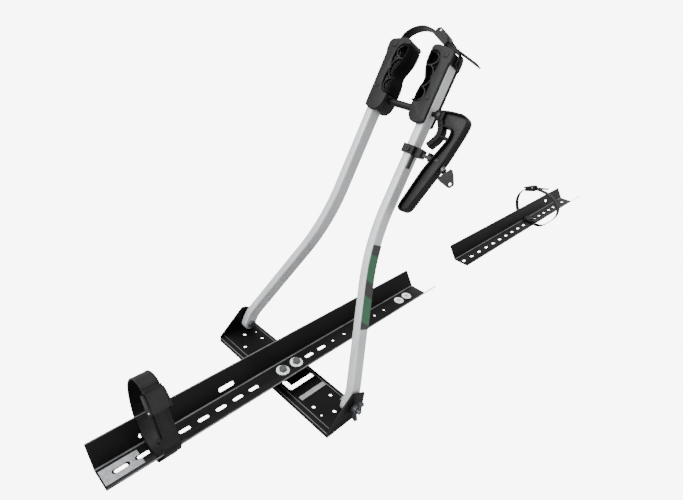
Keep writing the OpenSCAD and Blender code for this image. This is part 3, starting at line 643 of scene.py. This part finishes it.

# %% [markdown]
# ## Lever
# The lever is one C-shaped plate with a thin wall standing all round its outline, open to the
# front. The wall's middle line is the outline drawn in by half the wall, and the web lies
# between the walls, in a lighter grey than the walls: painted light on its lit front face. A
# forked lobe holds the draw rod's pin, and a strut braces the top bar against the collar.

# %% Lever outlines
lever_line = rounded([(-77, 490.6), (-96, 492.6), (-112, 492.8), (-120, 491), (-125, 486),
                      (-126.3, 479), (-124.5, 462), (-118, 421.5), (-106, 377), (-94, 332.5),
                      (-91, 326.5), (-85, 323), (-78, 323.5), (-73.5, 327), (-73, 332),
                      (-78.5, 358), (-86, 393), (-93, 416), (-101, 438), (-105, 450),
                      (-106, 460), (-103.5, 465.5), (-98, 467), (-82, 467), (-77, 470)],
                     1.6, 3)
half_wall = 1.5
wall_path = lever_line + half_wall * lefts(lever_line, True)
wall_section = np.array([(-half_wall, -8.4), (-0.9, -9), (0.9, -9), (half_wall, -8.4),
                         (half_wall, -2), (-half_wall, -2)])
strut_path = curve([(-76.5, 487), (-78.5, 477), (-85, 467), (-88, 457), (-86, 447),
                    (-77.5, 433)], 2)
strut_section = rounded([(-5, -8.6), (5, -8.6), (5, 8.6), (-5, 8.6)], 1.0, 3)
a = np.linspace(-np.pi / 2, np.pi / 2, 20)
fork = rounded(np.vstack([np.stack([-74 + 8 * np.cos(a), 482 + 8 * np.sin(a)], 1),
                          [(-84, 490), (-84, 474)]]), 1.2, 1)

# %% The lever
piece("lever_moulding", [
    carried(wall_path, wall_section, in_arms, closed=True),
    slab(lever_line, -2.4, 9, 1.2, in_arms),
    carried(strut_path, strut_section, in_arms, tip=0.5),
    slab(fork, -9, -4.6, 0.8, in_arms), slab(fork, 4.6, 9, 0.8, in_arms),
    slab(rounded([(-107, 450), (-84, 450), (-84, 454), (-107, 454)], 1, 1), -8, 8, 0.8, in_arms),
], lever_nylon, "lever", ["lever_handle"])
# The web's lighter grey is painted light on the lever's lit front face.
web_line = lever_line + (2 * half_wall + 0.2) * lefts(lever_line, True)
piece("lever_web", [slab(web_line, -3.0, -2.2, 0.2, in_arms)], lit_web_nylon, "lever")

# %% [markdown]
# ## Ratchet straps
# A ratchet strap is moulded as a ladder: thin edges left and right, and saw teeth across the
# middle of the outer face, which the buckle's pawl drops into. The section is the same all
# along, and only the middle of its outer face goes up and down with the distance travelled.

# %% Strap section with teeth
def strap(path, width, thick, space, closed, outer, toothed, pitch=4.2, tooth=0.7):
    """Outer face height = thick/2, less a saw of the given depth across the middle wherever
    toothed gives 1 for the share of the path's length."""
    half, lip = width / 2, 2.2
    w = np.array([-half, -half + 0.5, -half + lip, -half + lip + 0.4, half - lip - 0.4,
                  half - lip, half - 0.5, half, half, half - 0.6, -half + 0.6, -half])
    d = np.array([0.55, 1, 1, 1, 1, 1, 1, 0.55, -0.55, -1, -1, -0.55]) * thick / 2
    middle = np.array([0, 0, 0, 1, 1, 0, 0, 0, 0, 0, 0, 0])
    share = np.arange(len(path)) / len(path)
    along = np.r_[0, np.cumsum(np.hypot(*np.diff(path, axis=0).T))]
    saw = (along / pitch) % 1.0
    drop = tooth * (0.35 + 0.65 * saw) * toothed(share)
    d = outer * (d[None] - middle[None] * drop[:, None])
    return carried(path, np.stack([d, np.broadcast_to(w, d.shape)], -1), space, closed,
                   tip=0 if closed else 0.5)

# %% Front wheel strap
front_loop = curve([(0, -6.5), (15, -6.5), (23.6, -2), (33.4, 13), (43.9, 28.6), (47.6, 38),
                    (51, 55), (52, 75), (48, 95), (38, 111), (24, 120), (9, 121), (0, 115),
                    (-10, 99.2), (-20, 83.4), (-30, 67.6), (-40, 51.6), (-46, 40),
                    (-44.4, 29.4), (-33.4, 13), (-23.6, -2), (-15, -6.5)], 0.7, True)
front_tail = curve([(-8.4, 101.7), (-12.6, 96.1), (-15.8, 92.2), (-20.6, 88.9), (-31.5, 73),
                    (-41, 60)], 0.7)
piece("front_strap_ladder", [
    strap(front_loop, 25, 2.5, in_front, True, -1, lambda u: (u > 0.18) & (u < 0.56)),
    strap(front_tail, 20, 2.0, in_front, False, -1, lambda u: u > 0.3)],
    strap_polymer, "base", ["front_strap"])

# %% Rear wheel strap
rear_loop = curve([(0, -6), (16, -6), (31, -1), (46, 12), (58, 34), (64, 58), (60, 80),
                   (48, 96), (30, 102), (12, 108), (-14, 107), (-38, 101), (-56, 89), (-69, 71),
                   (-72, 51), (-65, 31), (-51, 11), (-37, -2), (-18, -6)], 0.8, True)
rear_tail = curve([(32.9, 101), (26.4, 103.7), (21.8, 106), (17.6, 109.1), (12, 112.5),
                   (-4, 116), (-21, 120.5)], 0.8)
piece("rear_strap_ladder", [
    strap(rear_loop, 20, 2.5, in_rear, True, -1, lambda u: u < 0.42),
    strap(rear_tail, 16, 2.0, in_rear, False, -1, lambda u: u > 0.3)],
    strap_polymer, "extension", ["rear_strap"])

# %% Strap over the jaws, fixed to the left cap and riveted to the right housing
top_path = curve([(53, 577), (51, 584), (47, 593), (36, 602.5), (18, 608), (-4, 604),
                  (-22, 594.5), (-38, 586), (-50, 581.8), (-60, 578.2), (-64.8, 573.5),
                  (-65.8, 566), (-65.6, 559)], 0.7)
top_tail = curve([(-19.3, 595.9), (-29.4, 592.2), (-40, 588.6), (-70, 577.7), (-99, 567)], 0.7)
over = piece("top_strap_ladder", [
    strap(top_path, 18, 2.5, in_arms, False, -1, lambda u: (u > 0.05) & (u < 0.5)),
    strap(top_tail, 16, 2.4, in_arms, False, -1, lambda u: u > 0.3)],
    strap_polymer, None, ["top_strap"])
tuple(in_arms(0, 0.0, 605).tolist())
tuple(in_arms(0, 46.0, 605).tolist())
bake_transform(over)
